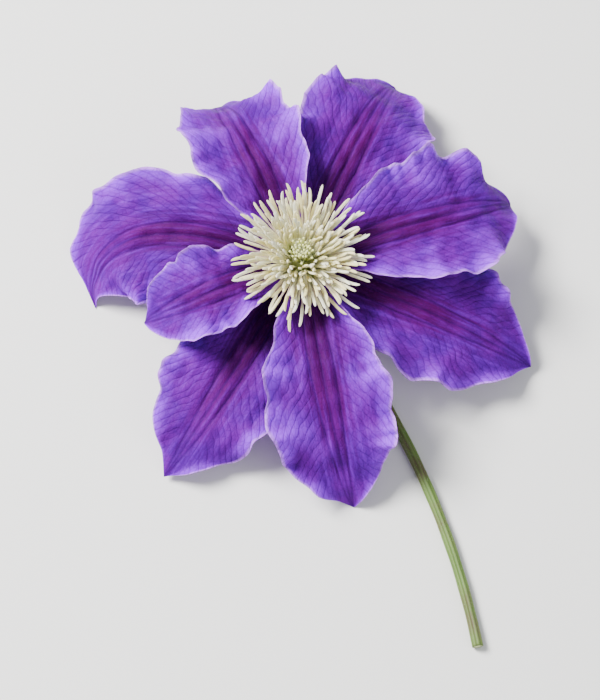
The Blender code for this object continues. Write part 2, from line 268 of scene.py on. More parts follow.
@dataclass(frozen=True)
class TepalFinish:
    """Violet velvet with a plum bar along the middle, painted highlights on its margins and fold crests and
    painted shade in its fold hollows, and a lilac back with a pale bar.
    """

    violet: Colour = (0.118, 0.0002, 0.275)
    blue: Colour = (0.071, 0.0003, 0.235)
    lavender: Colour = (0.33, 0.022, 1.0)
    # painted highlight on the very edge of the margins
    rim: Colour = (0.66, 0.3, 1.0)
    plum: Colour = (0.03, 0.0001, 0.03)
    magenta: Colour = (0.068, 0.0001, 0.076)
    # dark violet of the veins, and the painted shade in the hollows of the folds
    vein_and_fold_shade: Colour = (0.024, 0.0002, 0.07)
    back: Colour = (0.32, 0.11, 0.58)
    back_bar: Colour = (0.5, 0.5, 0.36)
    back_rib: Colour = (0.6, 0.62, 0.42)
    sheen: Colour = (0.4, 0.05, 1.0)
    bar_width: float = 8.0  # MM, half of it at the root
    back_bar_width: float = 4.4  # MM, half of it

    def material(self) -> bpy.types.Material:
        """Makes the material.

        It reads these attributes: blade, the place in MM along and across a tepal; along and edge, the same
        as shares of the tepal; branch, which is a whole number and a half on each side vein; crest, which is
        -1 in the deepest fold and 1 on the highest; and upper, which is 1 on the face and 0 on the back.

        Returns:
            The material.
        """
        shader = Shader("tepal")
        pattern = self.pattern(shader)
        back, face = self.back_colour(shader, pattern), self.face_colour(shader, pattern)
        sunk = pattern.branches * 0.5 + pattern.ribs * 0.4 + pattern.net * 0.3
        height = pattern.streak * 0.5 + pattern.thread * 0.35 - sunk
        return shader.finish(
            Base_Color=shader.mix(shader.attribute("upper"), back, face),
            Roughness=0.46 + pattern.thread * 0.16 - pattern.edge * 0.06,
            Normal=shader.relief(height, 0.16 * MM, 0.8),
            Sheen_Weight=0.04,
            Sheen_Roughness=0.35,
            Sheen_Tint=self.sheen,
            Subsurface_Weight=0.15,
            Subsurface_Radius=(0.6, 0.05, 1.0),
            Subsurface_Scale=0.7 * MM,
            Specular_IOR_Level=0.035,
        )

    def pattern(self, shader: Shader) -> Pattern:
        """Works out the values that the colours are mixed by.

        Args:
            shader: the material's nodes.

        Returns:
            The values.
        """
        blade = shader.attribute("blade", "Vector")
        along = shader.attribute("along")
        off = abs(shader.parts(blade)[1])
        cells = shader.cells(shader.stretched(blade, (0.55, 1.0, 1.0)), 1.3)
        return Pattern(
            along=along,
            edge=shader.attribute("edge"),
            crest=shader.attribute("crest"),
            off=off,
            streak=shader.clouds(shader.stretched(blade, (0.1, 1.3, 1.0)), 1.0, 4.0),
            thread=shader.clouds(shader.stretched(blade, (0.45, 5.5, 1.0)), 1.0, 3.0),
            cloud=shader.clouds(blade, 0.17, 3.0),
            net=1.0 - shader.step(0.0, 0.12, cells),
            ribs=self.ribs(shader, along, off),
            branches=self.branches(shader, off),
        )

    def face_colour(self, shader: Shader, pattern: Pattern) -> Tint:
        """The colour of the upper side, with painted highlights and painted shade.

        Args:
            shader: the material's nodes.
            pattern: what it is mixed by.

        Returns:
            The colour.
        """
        bar = self.bar(shader, pattern)
        plum = shader.layered(
            self.plum,
            (shader.step(0.2, 0.72, pattern.along + pattern.streak * 0.25), self.magenta),
            (shader.step(0.45, 0.75, pattern.thread) * 0.22, self.violet),
        )
        # painted highlight: how near the margin a place lies, with some noise, for the lavender that stands
        # for lit margins
        near_margin = pattern.edge + (pattern.cloud - 0.5) * 0.5
        # painted highlight: lavender on the crests of the folds
        crest_highlight = shader.step(0.05, 1.0, pattern.crest)
        # painted shade: the hollows of the folds
        hollow_shade = 1.0 - shader.step(-1.0, -0.05, pattern.crest)
        return shader.layered(
            self.violet,
            (shader.step(0.36, 0.64, pattern.cloud), self.blue),
            # painted highlight: lavender towards the margins
            (shader.step(0.62, 1.05, near_margin) * 0.7, self.lavender),
            (shader.step(0.44, 0.72, pattern.streak) * 0.16, self.lavender),
            (bar * 0.94, plum),
            # painted highlight on the fold crests, weaker in the bar
            (crest_highlight * (0.7 - bar * 0.6), self.lavender),
            # painted shade in the hollows of the folds
            (hollow_shade * 0.6, self.vein_and_fold_shade),
            # painted highlight on the very edge of the margins
            (shader.step(0.93, 1.0, pattern.edge) * 0.6, self.rim),
            (pattern.ribs * 0.55, self.vein_and_fold_shade),
            (pattern.branches * 0.34, self.vein_and_fold_shade),
            (pattern.net * 0.22, self.vein_and_fold_shade),
        )

    def back_colour(self, shader: Shader, pattern: Pattern) -> Tint:
        """The colour of the lower side.

        Args:
            shader: the material's nodes.
            pattern: what it is mixed by.

        Returns:
            The colour.
        """
        fade = 1.0 - shader.step(0.45, 1.0, pattern.along + pattern.streak * 0.3)
        across = pattern.off / self.back_bar_width + (pattern.streak - 0.5) * 0.9
        bar = (1.0 - shader.step(0.1, 1.0, across)) * fade
        return shader.layered(
            self.back,
            (shader.step(0.35, 0.65, pattern.cloud) * 0.7, self.violet),
            (shader.step(0.45, 0.7, pattern.streak) * 0.3, self.back),
            (bar * (0.75 - shader.step(0.4, 0.75, pattern.thread) * 0.4), self.back_bar),
            (pattern.branches * 0.35 + pattern.net * 0.18, self.blue),
            (pattern.ribs * (0.25 + fade * 0.5), self.back_rib),
        )

    def ribs(self, shader: Shader, along: Value, off: Value) -> Value:
        """The three main veins, from the root to where they meet at the tip.

        Args:
            shader: the material's nodes.
            along: the share of the way from root to tip.
            off: the distance in MM from the middle line.

        Returns:
            1 on a vein and 0 off it.
        """
        spread = shader.math("MINIMUM", VEIN_SPREAD[0] + along * VEIN_SPREAD[1], 1.0)
        spacing = (1.0 - along**3.0) * spread * VEIN_SPACING
        return shader.math("MAXIMUM", shader.line(off, 0.6), shader.line(off - spacing, 0.5))

    def branches(self, shader: Shader, off: Value) -> Value:
        """The fine veins that branch off and run slanting out to the margins.

        Args:
            shader: the material's nodes.
            off: the distance in MM from the middle line.

        Returns:
            1 on a vein and 0 off it, and 0 along the middle.
        """
        place = shader.math("FRACT", shader.attribute("branch")) - 0.5
        return shader.line(place, 0.15) * shader.step(1.5, 5.0, off)

    def bar(self, shader: Shader, pattern: Pattern) -> Value:
        """The dark bar along the middle, which frays out in streaks.

        Args:
            shader: the material's nodes.
            pattern: what it is mixed by.

        Returns:
            1 in the bar and 0 outside it.
        """
        stray = pattern.streak - 0.5
        width = (1.0 - pattern.along * 0.62) * self.bar_width
        across = 1.0 - shader.step(0.1, 1.15, pattern.off / width + stray * 1.1)
        return across * (1.0 - shader.step(0.42, 0.98, pattern.along + stray * 0.6))


@dataclass(frozen=True)
class StamenFinish:
    """Ivory filaments, green at the root and mauve low on the outer ones, with cream anthers."""

    ivory: Colour = (0.96, 0.93, 0.68)
    root: Colour = (0.48, 0.52, 0.17)
    mauve: Colour = (0.5, 0.24, 0.5)
    cream: Colour = (1.0, 0.99, 0.8)
    pollen: Colour = (0.95, 0.86, 0.42)
    tip: Colour = (0.78, 0.6, 0.66)

    def material(self) -> bpy.types.Material:
        """Makes the material.

        It reads these attributes: along, the share of the way up a stamen; ring, which is 0 on the innermost
        stamen and 1 on the outermost; and tone, which differs from stamen to stamen.

        Returns:
            The material.
        """
        shader = Shader("stamen")
        along = shader.attribute("along")
        ring = shader.attribute("ring")
        tone = shader.attribute("tone")
        grain = shader.clouds(shader.place(), 2600.0, 3.0)
        dust = shader.cells(shader.place(), 5200.0)
        anther = shader.step(*ANTHER_FROM, along)
        # mauve over the lower part of the outer stamens
        flush = shader.step(0.45, 1.0, ring) * shader.step(0.1, 0.38, along)
        filament = shader.layered(
            self.root,
            (shader.step(0.0, 0.28, along), self.ivory),
            (flush * (tone * 0.6 + 0.25), self.mauve),
        )
        head = shader.layered(
            self.cream,
            (shader.step(0.3, 0.75, grain * 0.5 + tone * 0.5), self.pollen),
            (shader.step(0.86, 1.0, along) * (ring * 0.3 + 0.1), self.tip),
            (flush * tone * 0.14, self.mauve),
        )
        height = grain * 0.6 + shader.step(0.0, 0.3, dust) * anther
        return shader.finish(
            Base_Color=shader.mix(anther, filament, head),
            Roughness=0.55 + grain * 0.3,
            Normal=shader.relief(height, 0.06 * MM),
            Subsurface_Weight=0.15,
            Subsurface_Radius=(1.0, 0.8, 0.4),
            Subsurface_Scale=0.5 * MM,
        )


@dataclass(frozen=True)
class StyleFinish:
    """Yellow-green carpels, whose silky styles pale to cream."""

    green: Colour = (0.24, 0.32, 0.05)
    yellow: Colour = (0.5, 0.54, 0.12)
    cream: Colour = (0.7, 0.72, 0.3)
    silk: Colour = (0.82, 0.84, 0.58)

    def material(self) -> bpy.types.Material:
        """Makes the material.

        It reads these attributes: along, the share of the way up a style; and down, which is 1 on a hair.

        Returns:
            The material.
        """
        shader = Shader("pistil")
        along = shader.attribute("along")
        grain = shader.clouds(shader.stretched(shader.place(), (1.0, 1.0, 0.2)), 3000.0, 3.0)
        colour = shader.layered(
            self.green,
            (shader.step(0.0, 0.5, along + grain * 0.2), self.yellow),
            (shader.step(0.4, 0.95, along), self.cream),
            (shader.attribute("down") * 0.85, self.silk),
        )
        return shader.finish(
            Base_Color=colour,
            Roughness=0.45 + grain * 0.25,
            Normal=shader.relief(grain, 0.05 * MM),
            Subsurface_Weight=0.15,
            Subsurface_Radius=(1.0, 0.9, 0.4),
            Subsurface_Scale=0.5 * MM,
        )


@dataclass(frozen=True)
class StalkFinish:
    """Green, ribbed and downy, with a brown-purple flush and a pale cut end."""

    green: Colour = (0.075, 0.14, 0.025)
    light: Colour = (0.16, 0.25, 0.06)
    flush: Colour = (0.12, 0.045, 0.05)
    pith: Colour = (0.56, 0.6, 0.34)
    wood: Colour = (0.26, 0.32, 0.11)
    down: Colour = (0.45, 0.5, 0.33)

    def material(self) -> bpy.types.Material:
        """Makes the material.

        It reads these attributes: along, the share of the way from the bloom to the cut end; rib, which is 1
        on a rib and 0 in a furrow; cut, which is 0 at the rim of the cut end and 1 at its middle; and down,
        which is 1 on a hair.

        Returns:
            The material.
        """
        shader = Shader("stalk")
        along = shader.attribute("along")
        rib = shader.attribute("rib")
        cut = shader.attribute("cut")
        blotch = shader.clouds(shader.place(), 150.0, 4.0)
        fibre = shader.clouds(shader.place(), 1500.0, 3.0)
        toned = shader.step(0.42, 0.66, blotch) * 0.55 + (1.0 - shader.step(0.1, 0.42, along)) * 0.3
        end = shader.layered(
            self.wood,
            (shader.step(0.25, 0.45, cut), self.pith),
            (shader.line(cut - 0.36, 0.1) * 0.6, self.green),
        )
        colour = shader.layered(
            self.green,
            (rib * 0.55 + fibre * 0.2, self.light),
            (toned * (1.1 - rib * 0.5), self.flush),
            (shader.step(0.04, 0.12, cut), end),
            (shader.attribute("down") * 0.9, self.down),
        )
        return shader.finish(
            Base_Color=colour,
            Roughness=0.42 + fibre * 0.2 + cut * 0.15,
            Normal=shader.relief(fibre * 0.6 + blotch * 0.4, 0.08 * MM),
            Specular_IOR_Level=0.3,
            Subsurface_Weight=0.06,
            Subsurface_Radius=(0.6, 1.0, 0.3),
            Subsurface_Scale=0.6 * MM,
        )


@dataclass(frozen=True)
class FloorFinish:
    """A matt, pale surface with hardly any grain."""

    pale: Colour = (0.8, 0.8, 0.8)
    paler: Colour = (0.83, 0.83, 0.82)

    def material(self) -> bpy.types.Material:
        """Makes the material.

        Returns:
            The material.
        """
        shader = Shader("floor")
        grain = shader.clouds(shader.place(), 14.0)
        return shader.finish(Base_Color=shader.mix(grain, self.pale, self.paler), Roughness=0.75)


# Modelling tools


def between(ends: tuple[float, float], share: float) -> float:
    """The value that lies this share of the way between two."""
    return ends[0] + (ends[1] - ends[0]) * share


def ease(low: float, high: float, value: float) -> float:
    """A smooth step from 0 to 1, as the value goes from low to high."""
    share = min(1.0, max(0.0, (value - low) / (high - low)))
    return share * share * (3.0 - 2.0 * share)


def rough(x: float, y: float, z: float) -> float:
    """Soft noise from -1 to 1."""
    return noise.noise(Vector((x, y, z)))


def stray(draw: random.Random, degrees: float) -> float:
    """A random angle, up to this many degrees either way."""
    return math.radians(draw.uniform(-degrees, degrees))


def spun(side: Vector, way: Vector, draw: random.Random) -> Vector:
    """Turns a direction by a random angle about another."""
    side.rotate(Matrix.Rotation(draw.uniform(0, math.tau), 3, way))
    return side


def start_mesh(*attributes: str) -> bmesh.types.BMesh:
    """Starts a mesh.

    Args:
        attributes: the names of the numbers that its points hold.

    Returns:
        The empty mesh.
    """
    mesh = bmesh.new()
    for name in attributes:
        mesh.verts.layers.float.new(name)
    return mesh


def set_numbers(mesh: bmesh.types.BMesh, points: list[bmesh.types.BMVert], **numbers: float) -> None:
    """Gives points the same numbers.

    Args:
        mesh: the mesh that they belong to.
        points: the points.
        numbers: what each of its numbers becomes.
    """
    for name, number in numbers.items():
        layer = mesh.verts.layers.float[name]
        for point in points:
            point[layer] = number


def sweep(mesh: bmesh.types.BMesh, line: list[Vector], wide: Vector, sides: int,
          section: Section) -> list[bmesh.types.BMVert]:
    """Adds a tube round a line, closed where its section shrinks to nothing.

    Args:
        mesh: takes the tube, and has the number along.
        line: the points of its middle.
        wide: the direction of the section's first axis at the start.
        sides: how many faces go round it.
        section: gives the offsets along the section's two axes, for a share of the way along and an angle.

    Returns:
        The tube's points, whose number along is that share.
    """
    rings = len(line) - 1
    grid = bmesh.ops.create_grid(mesh, x_segments=rings, y_segments=sides, size=0.5)["verts"]
    ways = [(line[min(i + 1, rings)] - line[max(i - 1, 0)]).normalized() for i in range(rings + 1)]
    axes = [(wide - ways[0] * wide.dot(ways[0])).normalized()]
    for before, after in zip(ways, ways[1:]):
        axes.append(before.rotation_difference(after) @ axes[-1])
    layer = mesh.verts.layers.float["along"]
    for point in grid:
        ring = round((point.co.x + 0.5) * rings)
        across, deep = section(ring / rings, math.tau * (point.co.y + 0.5))
        point[layer] = ring / rings
        point.co = line[ring] + axes[ring] * across + ways[ring].cross(axes[ring]) * deep
    bmesh.ops.remove_doubles(mesh, verts=grid, dist=CLOSED)
    return [point for point in grid if point.is_valid]


def add_hair(mesh: bmesh.types.BMesh, foot: Vector, tip: Vector, radius: float) -> list[bmesh.types.BMVert]:
    """Adds a three-sided hair.

    Args:
        mesh: takes the hair.
        foot: the middle of its foot.
        tip: its point.
        radius: its radius at the foot.

    Returns:
        The hair's points.
    """
    way = tip - foot
    place = Matrix.Translation((foot + tip) / 2) @ way.to_track_quat("Z", "Y").to_matrix().to_4x4()
    made = bmesh.ops.create_cone(mesh, cap_ends=True, segments=3, radius1=radius, radius2=0,
                                 depth=way.length, matrix=place)
    return made["verts"]


def arc(root: tuple[float, float], lean: float, arch: float, length: float, rings: int) -> list[Vector]:
    """The line of a filament or style, in the plane through the axis at azimuth 0, in steps that shorten.

    Args:
        root: its distance from the axis and its height.
        lean: its angle off the axis at the root.
        arch: how much further it leans at its tip.
        length: its length.
        rings: how many steps it is made in.

    Returns:
        The points from the root to the tip.
    """
    out, up = root
    points = [Vector((out, 0, up))]
    passed = 0.0
    for ring in range(1, rings + 1):
        share = 1 - (1 - ring / rings) ** SHORTENING
        now = lean + arch * (passed + share) / 2
        out += length * (share - passed) * math.sin(now)
        up += length * (share - passed) * math.cos(now)
        points.append(Vector((out, 0, up)))
        passed = share
    return points


def squashed_ball(mesh: bmesh.types.BMesh, bloom: Matrix, middle: float, radius: float, height: float,
                  segments: tuple[int, int]) -> None:
    """Adds a flattened or drawn-out ball on the bloom's axis.

    Args:
        mesh: takes the ball.
        bloom: the bloom frame in the world.
        middle: the height of its middle.
        radius: its radius across.
        height: half its height.
        segments: how many faces it has round and from pole to pole.
    """
    squash = Matrix.Diagonal((1, 1, height / radius, 1))
    place = bloom @ Matrix.Translation((0, 0, middle)) @ squash
    bmesh.ops.create_uvsphere(mesh, u_segments=segments[0], v_segments=segments[1], radius=radius,
                              matrix=place)


def to_data(mesh: bmesh.types.BMesh, name: str) -> bpy.types.Mesh:
    """Turns a bmesh into mesh data, and frees it.

    Args:
        mesh: the bmesh.
        name: what the data is called.

    Returns:
        The mesh data.
    """
    data = bpy.data.meshes.new(name)
    mesh.to_mesh(data)
    mesh.free()
    return data


def add_object(name: str, data: bpy.types.ID) -> bpy.types.Object:
    """Puts an object in the scene.

    Args:
        name: what it is called.
        data: its mesh, lamp or lens.

    Returns:
        The object.
    """
    made = bpy.data.objects.new(name, data)
    bpy.context.scene.collection.objects.link(made)
    return made


def add_piece(name: str, mesh: bmesh.types.BMesh | bpy.types.Mesh, material: bpy.types.Material,
              node: str) -> bpy.types.Object:
    """Makes a finished piece, which rides on the body and stands for one of the solids.

    Args:
        name: what the piece is called.
        mesh: its shape in the world's frame.
        material: its finish.
        node: the solid that it stands for.

    Returns:
        The piece.
    """
    if isinstance(mesh, bmesh.types.BMesh):
        bmesh.ops.recalc_face_normals(mesh, faces=mesh.faces)
        mesh = to_data(mesh, name)
    mesh.shade_smooth()
    mesh.materials.clear()
    mesh.materials.append(material)
    piece = add_object(name, mesh)
    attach(piece, BODY)
    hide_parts(node)
    return piece


# The bloom


@dataclass(frozen=True)
class Seat:
    """Finds where the bloom stands from the solid of its stalk."""

    tilt: float = math.radians(7)  # about X, towards -Y
    receptacle_top: float = 3.0 * MM  # its height in the bloom frame
    near: float = 0.02 * MM  # points within this of the highest lie on the flat top

    def matrix(self, stalk: bpy.types.Object) -> Matrix:
        """The bloom frame in the world, from the flat top of the receptacle.

        Args:
            stalk: the solid of the stalk and receptacle.

        Returns:
            The matrix that takes the bloom frame to the world.
        """
        turn = Matrix.Rotation(self.tilt, 4, "X")
        axis = turn.to_3x3() @ UP
        top = max(point.co.dot(axis) for point in stalk.data.vertices)
        rim = {tuple(point.co) for point in stalk.data.vertices if point.co.dot(axis) > top - self.near}
        middle = sum((Vector(place) for place in rim), Vector()) / len(rim)
        return Matrix.Translation(middle - axis * self.receptacle_top) @ turn


@dataclass(frozen=True)
class Habit:
    """How the tepals of one whorl grow."""

    height: float  # where they are attached
    frills_from: tuple[float, float]  # s over which the crimps and rolled margins set in
    crimps_up: float  # how far the crimps stand up on the whole, as a share of their height
    rolls_up: float  # the same of the rolled margins
    puckers_up: float  # the same of the puckers


class Whorl(Enum):
    """The ring that a tepal belongs to."""

    OUTER = Habit(0.35 * MM, (0.25, 0.6), 0.0, 0.0, -0.3)
    INNER = Habit(1.65 * MM, (0.1, 0.4), 0.4, 0.12, 0.5)


@dataclass(frozen=True)
class Middle:
    """A point of a blade's middle line, before the blade is twisted and turned to its azimuth."""

    out: float  # from the bloom's axis
    side: float
    up: float
    slope: float  # how steeply the blade climbs there
    heading: float  # how far it has bent to one side


@dataclass
class Tepal:
    """One blade. The fields without a value are what sets it apart from the next."""

    azimuth: float  # degrees round the bloom's axis
    whorl: Whorl
    length: float  # share of full_length
    width: float  # share of full_width
    rise: float  # degrees above level at its root
    tip_height: float  # MM over the surface, or 0 where the tip bears the flower
    bend: float  # degrees that its tip is bent sideways, towards a larger azimuth
    twist: float  # degrees that its tip is turned about its length
    cup: float  # how far its margins stand up, as a share of half its width
    wave: float  # MM, height of the waves at its margins
    waves: float  # how many there are
    phase: float  # degrees, where they start

    full_length: float = 51.0 * MM
    full_width: float = 26.5 * MM
    root_radius: float = 4.05 * MM  # where it is attached
    pressed: float = -0.55 * MM  # where a tip that bears the flower would end
    resting: float = 0.27 * MM  # height of the sheet where it lies on the surface
    give: float = 0.02  # share that is left of a dip below that height
    reflex: float = 1.5  # power of s by which it turns down
    bending: float = 2.5  # power of s by which it bends sideways
    turn_limits: tuple[float, float] = (-150.0, -2.0)  # degrees that it may turn from root to tip
    halvings: int = 24  # of these limits

    claw: float = 0.17  # its width at the root, as a share of the widest
    widest_at: float = 0.54  # s
    swelling: float = 1.15  # power by which it widens up to there
    fullness: float = 2.3  # power by which it narrows past it
    pointedness: float = 0.35  # how far its tip draws out to a point
    notch: float = 0.045  # depth of the notches of its margins, as a share of half its width
    fine_notch: float = 0.2  # depth of the finer ones, as a share of that

    other_margin: float = 2.1  # how much later the waves start at v = -1
    wave_set_in: float = 0.6  # power
    wave_growth: tuple[float, float] = (0.55, 0.75)  # their height at the root, and what it gains to the tip
    wave_reach: float = 2.6  # power of v that keeps them to the margins
    frills_until: tuple[float, float] = (0.66, 0.96)  # s over which crimps and rolled margins end
    crisp: float = 1.0 * MM  # height of the small crimps along its margins
    crimps: float = 2.4  # how many go to a wave
    crimp_pace: float = 0.09  # how often in each MM they change
    crimp_drift: float = 7.0  # how far they drift along the margin
    crimp_change: tuple[float, float] = (0.8, 0.9)  # their usual height, and how far it varies
    crimp_reach: int = 4  # power of v that keeps them to the margins
    roll: float = 3.6 * MM  # how far its margins turn up or down
    roll_pace: float = 0.06  # how often in each MM that changes
    roll_from: tuple[float, float] = (0.72, 1.05)  # v over which it sets in
    pucker: float = 0.9 * MM  # height of the soft unevenness all over it
    # How often in each MM along and across a pucker comes, and its share of this height
    pucker_paces: tuple[tuple[float, float, float], ...] = ((0.11, 0.2, 1.0), (0.28, 0.42, 0.6))
    full_fold: float = 2.2 * MM  # height of a fold whose crest takes the full painted highlight, and of a hollow that takes the full painted shade

    cup_end: float = 1.25  # s where the cup would be flat
    cup_set_in: tuple[float, float] = (0.2, 4.0)  # its share at the root, and how fast it gains
    vein_depth: float = 0.5 * MM
    vein_half_width: float = 0.6 * MM
    vein_end: float = 0.88  # s where the main veins are gone
    quilt: float = 0.15 * MM  # how far the side veins are sunk
    side_vein_spacing: float = 2.5 * MM
    side_vein_half_width: float = 0.2  # as a share of their spacing
    side_vein_slant: float = 1.35  # how far they run along for each step out
    side_vein_from: tuple[float, float] = (2 * MM, 5 * MM)  # off the middle line, where they set in
    # How far they stray, as a share of their spacing, and how often in each MM
    side_vein_drift: tuple[tuple[float, float], ...] = ((0.9, 0.13), (0.25, 0.5))
    first_side_vein: int = 40  # the number of the one at the root, which keeps all numbers above 0

    thickness: float = 0.42 * MM
    thin: float = 0.3  # share of the thickness that is left at the margins
    thins_from: tuple[float, float] = (0.8, 0.94)  # v and s from which it thins
    rows: int = 150
    columns: int = 96

    def outline(self, s: float) -> float:
        """The width as a share of the widest.

        Args:
            s: share of the way from root to tip.

        Returns:
            The share.
        """
        if s < self.widest_at:
            swelled = math.sin(math.pi / 2 * s / self.widest_at) ** self.swelling
            return self.claw + (1 - self.claw) * swelled
        past = (s - self.widest_at) / (1 - self.widest_at)
        return (1 - past**self.fullness) * (1 - self.pointedness * past**4)

    def grown(self, s: float) -> float:
        """How far puckers and side veins are grown: not at the root, and not at the tip."""
        return ease(0.05, 0.4, s) * (1 - s**6)

    def spine(self, turn: float) -> list[Middle]:
        """The middle line, in the plane that the blade is laid out in.

        Args:
            turn: how far it turns from root to tip, in radians.

        Returns:
            Its middle for each row.
        """
        rise, bend = math.radians(self.rise), math.radians(self.bend)
        step = self.full_length * self.length / self.rows
        out, side, up = self.root_radius, 0.0, self.whorl.value.height
        line = [Middle(out, side, up, rise, 0.0)]
        for row in range(self.rows):
            half_way, s = (row + 0.5) / self.rows, (row + 1) / self.rows
            slope, heading = rise + turn * half_way**self.reflex, bend * half_way**self.bending
            out += step * math.cos(heading) * math.cos(slope)
            side += step * math.sin(heading)
            up += step * math.cos(heading) * math.sin(slope)
            line.append(Middle(out, side, up, rise + turn * s**self.reflex, bend * s**self.bending))
        return line

    def folds(self, s: float, v: float, half: float) -> float:
        """Height of the waves, crimps, puckers and rolled margins over the blade's own plane.

        Args:
            s: share of the way from root to tip.
            v: from -1 at one margin to 1 at the other.
            half: half the width there.

        Returns:
            The height.
        """
        habit = self.whorl.value
        along, across = s * self.full_length / MM, v * half / MM
        margin = math.copysign(1, v) + self.azimuth  # gives each margin noise of its own
        start = math.radians(self.phase) + (self.other_margin if v < 0 else 0)
        swell = math.sin(math.pi * s) ** self.wave_set_in * (self.wave_growth[0] + self.wave_growth[1] * s)
        wave_turn = math.tau * self.waves * s + start
        wave = self.wave * MM * swell * abs(v) ** self.wave_reach * math.sin(wave_turn)

        frilled = ease(*habit.frills_from, s) * (1 - ease(*self.frills_until, s))
        change = rough(along * self.crimp_pace, margin, 0)
        crimp_turn = math.tau * self.waves * self.crimps * s + start * 2 + change * self.crimp_drift
        size = self.crimp_change[0] + self.crimp_change[1] * change
        crimp = math.sin(crimp_turn) + habit.crimps_up
        crimp *= self.crisp * frilled * abs(v) ** self.crimp_reach * size
        rolled = (rough(along * self.roll_pace, margin, 7) + habit.rolls_up) * frilled

        pucker = 0.0
        for pace_along, pace_across, share in self.pucker_paces:
            pucker += share * rough(along * pace_along, across * pace_across, self.azimuth)
        pucker = (pucker + habit.puckers_up) * self.pucker * self.grown(s)
        return wave + crimp + pucker + self.roll * rolled * ease(*self.roll_from, abs(v))

    def lift(self, s: float, v: float, half: float, folds: float) -> float:
        """Height of the blade over its own plane.

        Args:
            s: share of the way from root to tip.
            v: from -1 at one margin to 1 at the other.
            half: half the width there.
            folds: the height of the folds there.

        Returns:
            The height of the cupped margins and the folds, less the depth of the sunk veins.
        """
        across = v * half
        cupped = (self.cup_end - s) * min(1, self.cup_set_in[0] + self.cup_set_in[1] * s)
        cup = self.cup * half * v * v * cupped
        spacing = VEIN_SPACING * MM * (1 - s**3) * min(1, VEIN_SPREAD[0] + VEIN_SPREAD[1] * s)
        fade = math.sin(math.pi * (1 - self.vein_end + s)) ** 0.5 if s < self.vein_end else 0
        ribs = sum(math.exp(-(((across - at) / self.vein_half_width) ** 2)) for at in (-spacing, 0, spacing))
        place = (self.branch(s * self.full_length, across) % 1 - 0.5) / self.side_vein_half_width
        branches = math.exp(-place * place) * ease(*self.side_vein_from, abs(across)) * self.grown(s)
        return cup + folds - self.vein_depth * fade * ribs - self.quilt * branches

    def branch(self, along: float, across: float) -> float:
        """Counts the side veins.

        Args:
            along: the distance from the root.
            across: the distance from the middle line.

        Returns:
            A number that is a whole number and a half on each side vein.
        """
        count = (along - abs(across) * self.side_vein_slant) / self.side_vein_spacing + self.first_side_vein
        place = Vector((along, across, self.azimuth * MM)) / MM
        for far, pace in self.side_vein_drift:
            count += far * noise.noise(place * pace)
        return count

    def half_width(self, s: float, v: float) -> float:
        """Half the width, with the notches of the margins.

        Args:
            s: share of the way from root to tip.
            v: from -1 at one margin to 1 at the other.

        Returns:
            The distance from the middle line to the margin.
        """
        half = self.full_width / 2 * self.width * self.outline(s)
        start = math.radians(self.phase) * 2
        notch = self.notch * math.sin(math.tau * (self.waves + 1) * s + start + v)
        notch += self.fine_notch * self.notch * math.sin(math.tau * (self.waves * 3 + 1) * s + start * 3 + v)
        return half * (1 + notch)

    def point(self, middle: Middle, s: float, across: float, lift: float) -> Vector:
        """A point of the blade in the bloom frame.

        Args:
            middle: the middle of the blade there.
            s: share of the way from root to tip.
            across: the distance from the middle line.
            lift: the height over the blade's own plane.

        Returns:
            The point.
        """
        twist = math.radians(self.twist) * s
        ahead = -across * math.sin(middle.heading)
        across = middle.side + across * math.cos(middle.heading)
        side = across * math.cos(twist) - lift * math.sin(twist)
        lift = across * math.sin(twist) + lift * math.cos(twist)
        out = middle.out + ahead * math.cos(middle.slope) - lift * math.sin(middle.slope)
        up = middle.up + ahead * math.sin(middle.slope) + lift * math.cos(middle.slope)
        point = Vector((out, side, up))
        point.rotate(Matrix.Rotation(math.radians(self.azimuth), 3, "Z"))
        return point

    def settled_spine(self, bloom: Matrix) -> list[Middle]:
        """The middle line that ends at the tip's height over the surface, found by halving its turn.

        Args:
            bloom: the bloom frame in the world.

        Returns:
            Its middle for each row.
        """
        target = self.tip_height * MM if self.tip_height else self.pressed
        steep, flat = (math.radians(limit) for limit in self.turn_limits)
        for _ in range(self.halvings):
            turn = (steep + flat) / 2
            line = self.spine(turn)
            if (bloom @ self.point(line[-1], 1, 0, 0)).z < target:
                steep = turn
            else:
                flat = turn
        return line

    def sheet(self, bloom: Matrix) -> bmesh.types.BMesh:
        """The blade without thickness.

        Args:
            bloom: the bloom frame in the world.

        Returns:
            The sheet in the world's frame, with the numbers that its finish reads.
        """
        line = self.settled_spine(bloom)
        names = ("along", "edge", "branch", "crest")
        mesh = start_mesh(*names)
        along, edge, branch, crest = (mesh.verts.layers.float[name] for name in names)
        blade = mesh.verts.layers.float_vector.new("blade")
        weight = mesh.verts.layers.deform.verify()
        margin_thins, tip_thins = self.thins_from
        bmesh.ops.create_grid(mesh, x_segments=self.rows, y_segments=self.columns, size=1)
        for point in mesh.verts:
            s, v = (point.co.x + 1) / 2, math.sin(point.co.y * math.pi / 2)
            half = self.half_width(s, v)
            across, folds = v * half, self.folds(s, v, half)
            point[along] = s
            point[edge] = abs(v)
            point[crest] = max(-1.0, min(1.0, folds / self.full_fold))
            point[branch] = self.branch(s * self.full_length, across)
            point[blade] = Vector((s * self.full_length, across, self.azimuth * MM)) / MM
            point[weight][0] = 1 - max(ease(margin_thins, 1, abs(v)), ease(tip_thins, 1, s))
            lift = self.lift(s, v, half, folds)
            point.co = bloom @ self.point(line[round(s * self.rows)], s, across, lift)
            if point.co.z < self.resting:
                point.co.z = self.resting + self.give * (point.co.z - self.resting)
        bmesh.ops.remove_doubles(mesh, verts=mesh.verts, dist=CLOSED)
        return mesh

